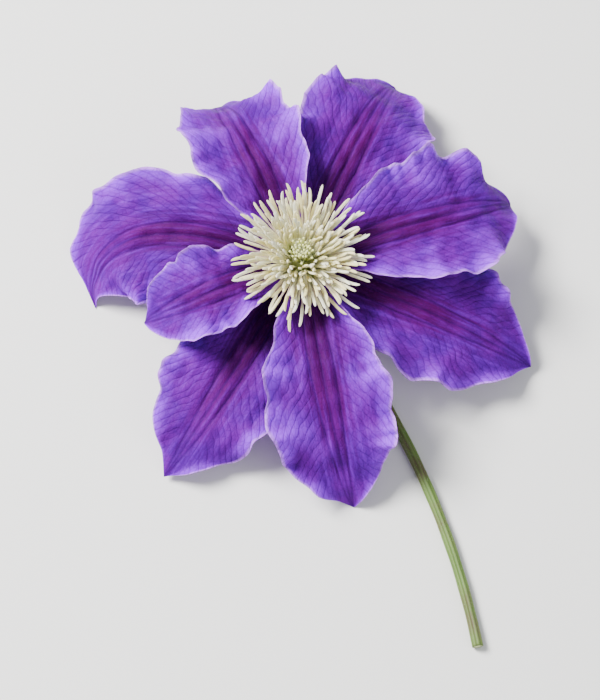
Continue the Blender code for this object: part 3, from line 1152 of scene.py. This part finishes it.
    def build(self, number: int, bloom: Matrix, material: bpy.types.Material) -> bpy.types.Object:
        """Makes the tepal.

        Args:
            number: its place in the flower, from 1.
            bloom: the bloom frame in the world.
            material: its finish.

        Returns:
            The piece.
        """
        data = to_data(self.sheet(bloom), "sheet")
        guide = add_object("sheet", data)
        guide.vertex_groups.new(name="thick")
        wall = guide.modifiers.new("Thickness", "SOLIDIFY")
        wall.thickness = self.thickness
        wall.offset = 0
        wall.vertex_group = "thick"
        wall.thickness_vertex_group = self.thin
        graph = bpy.context.evaluated_depsgraph_get()
        mesh = bpy.data.meshes.new_from_object(guide.evaluated_get(graph))
        upper = mesh.attributes.new("upper", "FLOAT", "POINT")
        faced = len(data.vertices)  # the solidified sheet has its upper side's points first
        upper.data.foreach_set("value", [float(i < faced) for i in range(len(mesh.vertices))])
        bpy.data.objects.remove(guide)
        bpy.data.meshes.remove(data)
        return add_piece(f"tepal_blade_{number}", mesh, material, f"tepal_{number}")


@dataclass
class Tuft:
    """The stamens, and the cushion that they spring from.

    A pair of distances or angles is for the innermost and the outermost.
    """

    count: int = 290
    roots: tuple[float, float] = (2.1 * MM, 4.4 * MM)  # distances from the axis
    root_height: float = 3.6 * MM
    root_drop: float = 0.9 * MM  # how much lower the outermost spring
    lengths: tuple[float, float] = (9.0 * MM, 13.0 * MM)
    length_range: tuple[float, float] = (0.86, 1.06)  # shares of its length that a stamen may have
    lean: tuple[float, float] = (math.radians(12), math.radians(52))
    lean_stray: float = 5.0  # degrees either way
    arch: tuple[float, float] = (math.radians(2), math.radians(22))
    arch_stray: float = 12.0  # degrees either way, of the outermost
    inner_stray: float = 0.3  # share of that for the innermost
    sway: float = 0.15  # how far a tip strays sideways, as a share of the length
    twist: float = 35.0  # degrees that an anther may be turned about its length
    turn_stray: float = 5.0  # degrees round the axis
    filament_width: float = 0.3  # MM, half of it at the root
    filament_taper: float = 0.2  # MM that it loses up to the tip
    filament_depth: float = 0.15  # MM, half of it
    anther_width: float = 0.4  # MM, half of it
    anther_taper: float = 0.25  # share of it that is lost
    anther_depth: float = 0.36  # MM, half of it over the lobes
    lobes: tuple[float, float] = (0.42, 0.58)  # shares of this depth: in the furrow, and added by the lobes
    lobe_power: float = 0.7
    rounds_over: tuple[float, float] = (0.72, 1.0)  # shares of the length over which it rounds off
    cushion_radius: float = 3.5 * MM
    cushion_height: float = 1.25 * MM
    rings: int = 20
    sides: int = 12
    seed: int = 7

    def section(self, share: float, angle: float) -> tuple[float, float]:
        """The outline of a stamen: a flat filament, and an anther of two lobes with a furrow on each face.

        Args:
            share: share of the way up.
            angle: the angle round it.

        Returns:
            The offsets across its width and its depth.
        """
        if share in (0.0, 1.0):
            return 0.0, 0.0
        head = ease(*ANTHER_FROM, share)
        tip = math.sqrt(1 - ease(*self.rounds_over, share) ** 2)
        lobed = self.lobes[0] + self.lobes[1] * abs(math.cos(angle)) ** self.lobe_power
        filament = self.filament_width - self.filament_taper * share
        anther = self.anther_width * (1 - self.anther_taper * share)
        wide = between((filament, anther), head)
        deep = between((self.filament_depth, self.anther_depth * lobed), head)
        return wide * MM * tip * math.cos(angle), deep * MM * tip * math.sin(angle)

    def build(self, bloom: Matrix, material: bpy.types.Material) -> bpy.types.Object:
        """Makes the tuft.

        Args:
            bloom: the bloom frame in the world.
            material: its finish.

        Returns:
            The piece.
        """
        draw = random.Random(self.seed)
        mesh = start_mesh("along", "ring", "tone")
        for index in range(self.count):
            share = index / (self.count - 1)
            radius = math.sqrt(between(tuple(end * end for end in self.roots), share))
            lean = between(self.lean, share) + stray(draw, self.lean_stray)
            arch = stray(draw, self.arch_stray) * between((self.inner_stray, 1.0), share)
            arch += between(self.arch, share)
            length = between(self.lengths, share) * draw.uniform(*self.length_range)
            root = (radius, self.root_height - self.root_drop * share)
            line = arc(root, lean, arch, length, self.rings)
            bend = draw.uniform(-self.sway, self.sway) * length
            for ring, point in enumerate(line):
                point.y += bend * (ring / self.rings) ** 2
            twist = Matrix.Rotation(stray(draw, self.twist), 3, UP)
            made = sweep(mesh, line, twist @ Vector((0, 1, 0)), self.sides, self.section)
            turn = Matrix.Rotation(index * GOLDEN_ANGLE + stray(draw, self.turn_stray), 4, "Z")
            bmesh.ops.transform(mesh, matrix=bloom @ turn, verts=made)
            set_numbers(mesh, made, ring=share, tone=draw.random())
        squashed_ball(mesh, bloom, self.root_height, self.cushion_radius, self.cushion_height, (48, 24))
        return add_piece("stamen_tuft", mesh, material, "stamens")


@dataclass
class Pistil:
    """The carpels in the middle of the bloom, with their styles and silky hairs.

    A pair of distances or angles is for the innermost and the outermost.
    """

    count: int = 42
    roots: tuple[float, float] = (0.2 * MM, 1.25 * MM)  # distances from the axis
    crowding: float = 0.8  # power by which they stand closer towards the outside
    heights: tuple[float, float] = (8.4 * MM, 5.2 * MM)
    lengths: tuple[float, float] = (3.9 * MM, 7.2 * MM)
    length_range: tuple[float, float] = (0.9, 1.05)  # shares of its length that a style may have
    lean: tuple[float, float] = (math.radians(2), math.radians(8))
    lean_stray: float = 3.0  # degrees either way
    arch: float = math.radians(10)
    arch_range: tuple[float, float] = (0.2, 1.6)  # shares of it that a style may have
    style_radius: float = 0.32  # MM, at the root
    style_taper: float = 0.16  # MM that it loses up to the tip
    style_swelling: float = 0.07  # MM that it gains below the tip
    swells_over: tuple[float, float] = (0.7, 0.84)  # shares of the length over which it gains them
    rounds_over: tuple[float, float] = (0.8, 1.0)  # and over which it rounds off
    core_radius: float = 1.55 * MM
    core_height: float = 6.0 * MM
    core_middle: float = 5.9 * MM
    rings: int = 14
    sides: int = 8
    hairs: int = 26
    hair_length: float = 0.85 * MM
    hair_radius: float = 0.035 * MM
    hair_places: tuple[float, float] = (0.05, 0.8)  # shares of a style between which hairs stand
    hair_rise: float = 0.8  # how far a hair runs up the style, as a share of hair_length
    hair_spread: tuple[float, float] = (0.35, 0.8)  # how far it stands off, as a share of hair_length
    seed: int = 7

    def section(self, share: float, angle: float) -> tuple[float, float]:
        """The round outline of a style, slender and swollen a little at its tip.

        Args:
            share: share of the way up.
            angle: the angle round it.

        Returns:
            The two offsets.
        """
        if share in (0.0, 1.0):
            return 0.0, 0.0
        radius = (self.style_radius - self.style_taper * share
                  + self.style_swelling * ease(*self.swells_over, share)) * MM
        radius *= math.sqrt(max(0.0, 1 - ease(*self.rounds_over, share) ** 2))
        return radius * math.cos(angle), radius * math.sin(angle)

    def build(self, bloom: Matrix, material: bpy.types.Material) -> bpy.types.Object:
        """Makes the pistil.

        Args:
            bloom: the bloom frame in the world.
            material: its finish.

        Returns:
            The piece.
        """
        draw = random.Random(self.seed)
        mesh = start_mesh("along", "down")
        squashed_ball(mesh, bloom, self.core_middle, self.core_radius, self.core_height / 2, (24, 20))
        for index in range(self.count):
            share = index / (self.count - 1)
            root = (between(self.roots, share**self.crowding), between(self.heights, share))
            lean = between(self.lean, share) + stray(draw, self.lean_stray)
            length = between(self.lengths, share) * draw.uniform(*self.length_range)
            line = arc(root, lean, self.arch * draw.uniform(*self.arch_range), length, self.rings)
            made = sweep(mesh, line, Vector((0, 1, 0)), self.sides, self.section)
            turn = bloom @ Matrix.Rotation(index * GOLDEN_ANGLE, 4, "Z")
            bmesh.ops.transform(mesh, matrix=turn, verts=made)
            self.add_down(mesh, [turn @ point for point in line], draw)
        return add_piece("pistil_styles", mesh, material, "pistil")

    def add_down(self, mesh: bmesh.types.BMesh, line: list[Vector], draw: random.Random) -> None:
        """Adds the silky hairs of one style.

        Args:
            mesh: takes the hairs.
            line: the points of the style's middle.
            draw: gives the random numbers.
        """
        for _ in range(self.hairs):
            at = draw.uniform(*self.hair_places) * (len(line) - 1)
            low = int(at)
            way = (line[low + 1] - line[low]).normalized()
            foot = line[low].lerp(line[low + 1], at - low)
            side = spun(way.orthogonal(), way, draw)
            lie = way * self.hair_rise + side * draw.uniform(*self.hair_spread)
            made = add_hair(mesh, foot, foot + lie * self.hair_length, self.hair_radius)
            set_numbers(mesh, made, along=0.7, down=1.0)


@dataclass
class Stalk:
    """The stalk with the receptacle that it swells into, ribbed and downy."""

    profile: tuple[tuple[float, float], ...] = (
        (1.15, -5.5), (1.2, -4.4), (1.45, -3.3), (2.1, -2.2), (3.0, -1.3), (3.55, -0.6), (3.7, 0.1),
        (3.7, 1.9), (3.35, 2.55), (2.4, 3.0),
    )  # of the receptacle, as its radius and height in MM in the bloom frame
    radius: float = 1.12 * MM
    heading: float = math.radians(304)  # where it runs off to, as an azimuth
    neck_pull: float = 6.5 * MM  # how far it keeps on straight down from the receptacle
    lie_pull: float = 8.0 * MM  # how gently it comes down to the surface
    lands_at: float = 17.0 * MM  # from the bloom's axis
    neck_steps: int = 24
    lying: float = 73.0 * MM  # how much of it lies on the surface
    lying_steps: int = 60
    curve: float = math.radians(-24)  # how far that part turns
    level: float = 1.08 * MM  # height of its middle there
    clear: float = 0.01 * MM  # least height of its skin over the surface
    ribs: int = 8
    rib_height: float = 0.07  # as a share of the radius
    rib_sway: tuple[float, float] = (0.6, 9.0)  # how far the ribs wind to and fro, and how often
    swelling: tuple[float, float] = (0.03, 60.0)  # how far its thickness varies, and how often
    sides: int = 64
    steps: int = 260
    smoothing: int = 4
    cut_share: float = 0.985  # where the cut end begins
    cut_depth: float = 0.02  # share of the length from there on that is left between its rim and its middle
    hairs: int = 1700
    hair_length: float = 0.6 * MM
    hair_radius: float = 0.025 * MM
    hair_range: tuple[float, float] = (0.5, 1.0)  # shares of hair_length that a hair may have
    hair_lean: float = 0.5  # how far it may lie along the stalk, as a share of its length
    hair_root: float = 0.95  # share of the radius at which it has its foot
    down_from: int = 13  # the first step with hairs on it
    down_thins: float = 1.5  # power by which they thin out towards the cut end
    seed: int = 7

    @property
    def rim(self) -> int:
        """The step at which the cut end begins."""
        return round(self.steps * self.cut_share)

    def past_rim(self, step: int) -> float:
        """How far in from the rim of the cut end a step lies: 0 at the rim and before it, 1 in the middle."""
        return max(0.0, (step - self.rim) / (self.steps - self.rim))

    def route(self, bloom: Matrix) -> list[tuple[Vector, float]]:
        """The points of its middle and the radius at each, from the bloom to the cut end.

        Args:
            bloom: the bloom frame in the world.

        Returns:
            The points and radii, in uneven steps.
        """
        knots = [(bloom @ Vector((0, 0, up * MM)), wide * MM) for wide, up in reversed(self.profile)]
        neck, axis = knots[-1][0], bloom.to_3x3() @ UP
        away = Vector((math.cos(self.heading), math.sin(self.heading), 0))
        landing = Vector((bloom.translation.x, bloom.translation.y, self.level)) + away * self.lands_at
        handles = [neck, neck - axis * self.neck_pull, landing - away * self.lie_pull, landing]
        for step in range(1, self.neck_steps + 1):
            knots.append((self.bend(handles, step / self.neck_steps), self.radius))
        for step in range(self.lying_steps):
            turned = self.heading + self.curve * (step + 0.5) / self.lying_steps
            forward = Vector((math.cos(turned), math.sin(turned), 0)) * self.lying / self.lying_steps
            knots.append((knots[-1][0] + forward, self.radius))
        return knots

    @staticmethod
    def bend(handles: list[Vector], share: float) -> Vector:
        """A point of a cubic curve.

        Args:
            handles: its four handles.
            share: share of the way along it.

        Returns:
            The point.
        """
        rest = 1 - share
        weights = (rest**3, 3 * rest * rest * share, 3 * rest * share * share, share**3)
        return sum((handle * weight for handle, weight in zip(handles, weights)), Vector())

    def resampled(self, knots: list[tuple[Vector, float]]) -> tuple[list[Vector], list[float]]:
        """The route in even steps.

        Args:
            knots: its points and radii.

        Returns:
            The points, evenly spaced, and the radius at each.
        """
        lengths = [(b[0] - a[0]).length for a, b in zip(knots, knots[1:])]
        total = sum(lengths)
        points, radii = [], []
        index, passed = 0, 0.0
        for step in range(self.steps + 1):
            goal = total * step / self.steps
            while index < len(lengths) - 1 and passed + lengths[index] < goal:
                passed += lengths[index]
                index += 1
            share = min(1.0, (goal - passed) / lengths[index])
            points.append(knots[index][0].lerp(knots[index + 1][0], share))
            radii.append(between((knots[index][1], knots[index + 1][1]), share))
        for _ in range(self.smoothing):
            radii[1:-1] = [sum(near) / 3 for near in zip(radii, radii[1:], radii[2:])]
        return points, radii

    def section(self, radii: list[float], share: float, angle: float) -> tuple[float, float]:
        """The ribbed outline, which shrinks to nothing over both ends.

        Args:
            radii: the radius at each step.
            share: share of the way to the cut end.
            angle: the angle round it.

        Returns:
            The two offsets.
        """
        step = round(share * self.steps)
        shrink = 1 - self.past_rim(step) if step else 0.0
        wind = self.rib_sway[0] * math.sin(share * self.rib_sway[1])
        rib_height = self.rib_height * self.radius / radii[step]
        rib = 1 + rib_height * math.cos(self.ribs * angle + wind)
        width = radii[step] * (1 + self.swelling[0] * math.sin(share * self.swelling[1])) * rib * shrink
        return width * math.cos(angle), width * math.sin(angle)

    def build(self, bloom: Matrix, material: bpy.types.Material) -> bpy.types.Object:
        """Makes the stalk.

        Args:
            bloom: the bloom frame in the world.
            material: its finish.

        Returns:
            The piece.
        """
        points, radii = self.resampled(self.route(bloom))
        for step in range(self.rim, self.steps + 1):
            points[step] = points[self.rim] + (points[step] - points[self.rim]) * self.cut_depth
        mesh = start_mesh("along", "rib", "cut", "down")
        made = sweep(mesh, points, Vector((1, 0, 0)), self.sides, partial(self.section, radii))
        along, rib, cut = (mesh.verts.layers.float[name] for name in ("along", "rib", "cut"))
        for point in made:
            step = round(point[along] * self.steps)
            away = (point.co - points[step]).length / radii[step]
            point[rib] = ease(1 - self.rib_height, 1 + self.rib_height, away)
            point[cut] = self.past_rim(step)
            point.co.z = max(point.co.z, self.clear)
        self.add_down(mesh, points, radii)
        return add_piece("stalk_skin", mesh, material, "stalk")

    def add_down(self, mesh: bmesh.types.BMesh, points: list[Vector], radii: list[float]) -> None:
        """Adds the down of the stalk.

        Args:
            mesh: takes the hairs.
            points: the stalk's middle.
            radii: its radius at each point.
        """
        draw = random.Random(self.seed)
        span = self.rim - 2 - self.down_from
        for _ in range(self.hairs):
            step = self.down_from + round(draw.random() ** self.down_thins * span)
            way = (points[step + 1] - points[step]).normalized()
            side = spun(way.orthogonal().normalized(), way, draw)
            foot = points[step] + side * radii[step] * self.hair_root
            lie = way * draw.uniform(-self.hair_lean, self.hair_lean) + side
            tip = foot + lie * self.hair_length * draw.uniform(*self.hair_range)
            if tip.z > 0:
                set_numbers(mesh, add_hair(mesh, foot, tip, self.hair_radius), along=0.5, down=1.0)


@dataclass
class Flower:
    """The whole bloom, as cut."""

    tepals: tuple[Tepal, ...] = (
        # azimuth, whorl, length, width, rise, tip_height, bend, twist, cup, wave, waves, phase
        Tepal(17, Whorl.INNER, 0.97, 1.06, 16, 4.0, 5, -6, 0.24, 2.2, 4.1, 40),
        Tepal(66, Whorl.OUTER, 1.03, 1.1, 9, 0.0, -4, 4, 0.02, 2.0, 3.8, 200),
        Tepal(115, Whorl.INNER, 0.93, 0.93, 19, 3.0, 6, 12, 0.3, 1.5, 4.2, 310, crisp=0.5 * MM),
        Tepal(165, Whorl.OUTER, 1.08, 1.06, 9, 0.0, 85, -22, 0.0, 1.8, 4.2, 120),
        Tepal(202, Whorl.INNER, 0.66, 0.72, 20, 9.8, -4, 8, 0.3, 1.8, 3.2, 70),
        Tepal(239, Whorl.OUTER, 0.99, 1.0, 7, 1.5, -7, 3, -0.03, 1.9, 3.9, 250),
        Tepal(280, Whorl.INNER, 1.03, 1.0, 17, 0.0, 7, 5, 0.26, 2.1, 4.2, 90),
        Tepal(338, Whorl.OUTER, 1.0, 1.06, 8, 2.0, -4, -4, 0.0, 2.0, 3.9, 160),
    )
    tuft: Tuft = field(default_factory=Tuft)
    pistil: Pistil = field(default_factory=Pistil)
    stalk: Stalk = field(default_factory=Stalk)

    def build(self, bloom: Matrix) -> list[bpy.types.Object]:
        """Makes every piece of the flower.

        Args:
            bloom: the bloom frame in the world.

        Returns:
            The pieces.
        """
        violet = TepalFinish().material()
        pieces = [tepal.build(number, bloom, violet) for number, tepal in enumerate(self.tepals, start=1)]
        pieces.append(self.tuft.build(bloom, StamenFinish().material()))
        pieces.append(self.pistil.build(bloom, StyleFinish().material()))
        pieces.append(self.stalk.build(bloom, StalkFinish().material()))
        return pieces


# The studio


@dataclass(frozen=True)
class Light:
    """A square soft light that faces the flower."""

    name: str
    place: tuple[float, float, float]
    size: float  # its width
    power: float  # watts
    colour: Colour

    def add(self) -> None:
        """Hangs the light."""
        lamp = bpy.data.lights.new(self.name, "AREA")
        lamp.size = self.size
        lamp.energy = self.power
        lamp.color = self.colour
        light = add_object(self.name, lamp)
        light.location = self.place
        light.rotation_euler = (-Vector(self.place)).to_track_quat("-Z", "Y").to_euler()


@dataclass
class Studio:
    """The floor, the lights and the camera."""

    floor_size: float = 3.0
    lights: tuple[Light, ...] = (
        Light("key", (-0.5, 0.25, 0.62), 0.36, 24.5, (1.0, 0.985, 0.96)),
        Light("fill", (0.6, -0.45, 0.5), 0.7, 3.5, (0.96, 0.98, 1.0)),
    )
    sky: Colour = (0.93, 0.95, 1.0)
    sky_strength: float = 0.5
    elevation: float = math.radians(72)  # of the camera over the horizon
    lens: float = 200.0  # MM
    sensor: float = 36.0  # MM
    view_height: float = 0.146  # what the camera takes in, at the flower
    nearest: float = 0.01  # nothing nearer than this shows
    aim: tuple[float, float, float] = (0.0, -0.001, 0.012)

    def build(self) -> None:
        """Sets up the floor, the lights and the camera."""
        self.add_floor()
        for light in self.lights:
            light.add()
        self.add_sky()
        self.add_camera()

    def add_floor(self) -> None:
        """Lays the floor at the surface that the flower rests on."""
        mesh = bmesh.new()
        bmesh.ops.create_grid(mesh, x_segments=1, y_segments=1, size=self.floor_size / 2)
        floor = add_object("floor", to_data(mesh, "floor"))
        floor.data.materials.append(FloorFinish().material())

    def add_sky(self) -> None:
        """Adds an even, pale surrounding light."""
        world = bpy.data.worlds.new("studio")
        world.use_nodes = True
        sky = world.node_tree.nodes["Background"]
        sky.inputs["Color"].default_value = (*self.sky, 1.0)
        sky.inputs["Strength"].default_value = self.sky_strength
        bpy.context.scene.world = world

    def add_camera(self) -> None:
        """Adds a camera with a long lens, which looks down on the flower's face."""
        lens = bpy.data.cameras.new("camera")
        lens.lens = self.lens
        lens.sensor_width = self.sensor
        lens.clip_start = self.nearest
        distance = self.view_height * self.lens / self.sensor
        back = Vector((0, -math.cos(self.elevation), math.sin(self.elevation)))
        camera = add_object("camera", lens)
        camera.location = Vector(self.aim) + back * distance
        camera.rotation_euler = (-back).to_track_quat("-Z", "Y").to_euler()
        bpy.context.scene.camera = camera


def report(piece: bpy.types.Object) -> None:
    """Logs a piece's name and how many triangles it has."""
    log.info("%s: %d triangles", piece.name, sum(len(face.vertices) - 2 for face in piece.data.polygons))


def main() -> None:
    """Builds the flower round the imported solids, and the studio."""
    logging.basicConfig(level=logging.INFO, format="%(name)s: %(message)s", stream=sys.stdout)
    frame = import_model()
    bloom = Seat().matrix(frame["nodes"]["stalk"])
    for piece in Flower().build(bloom):
        report(piece)
    Studio().build()


if __name__ == "__main__":
    main()
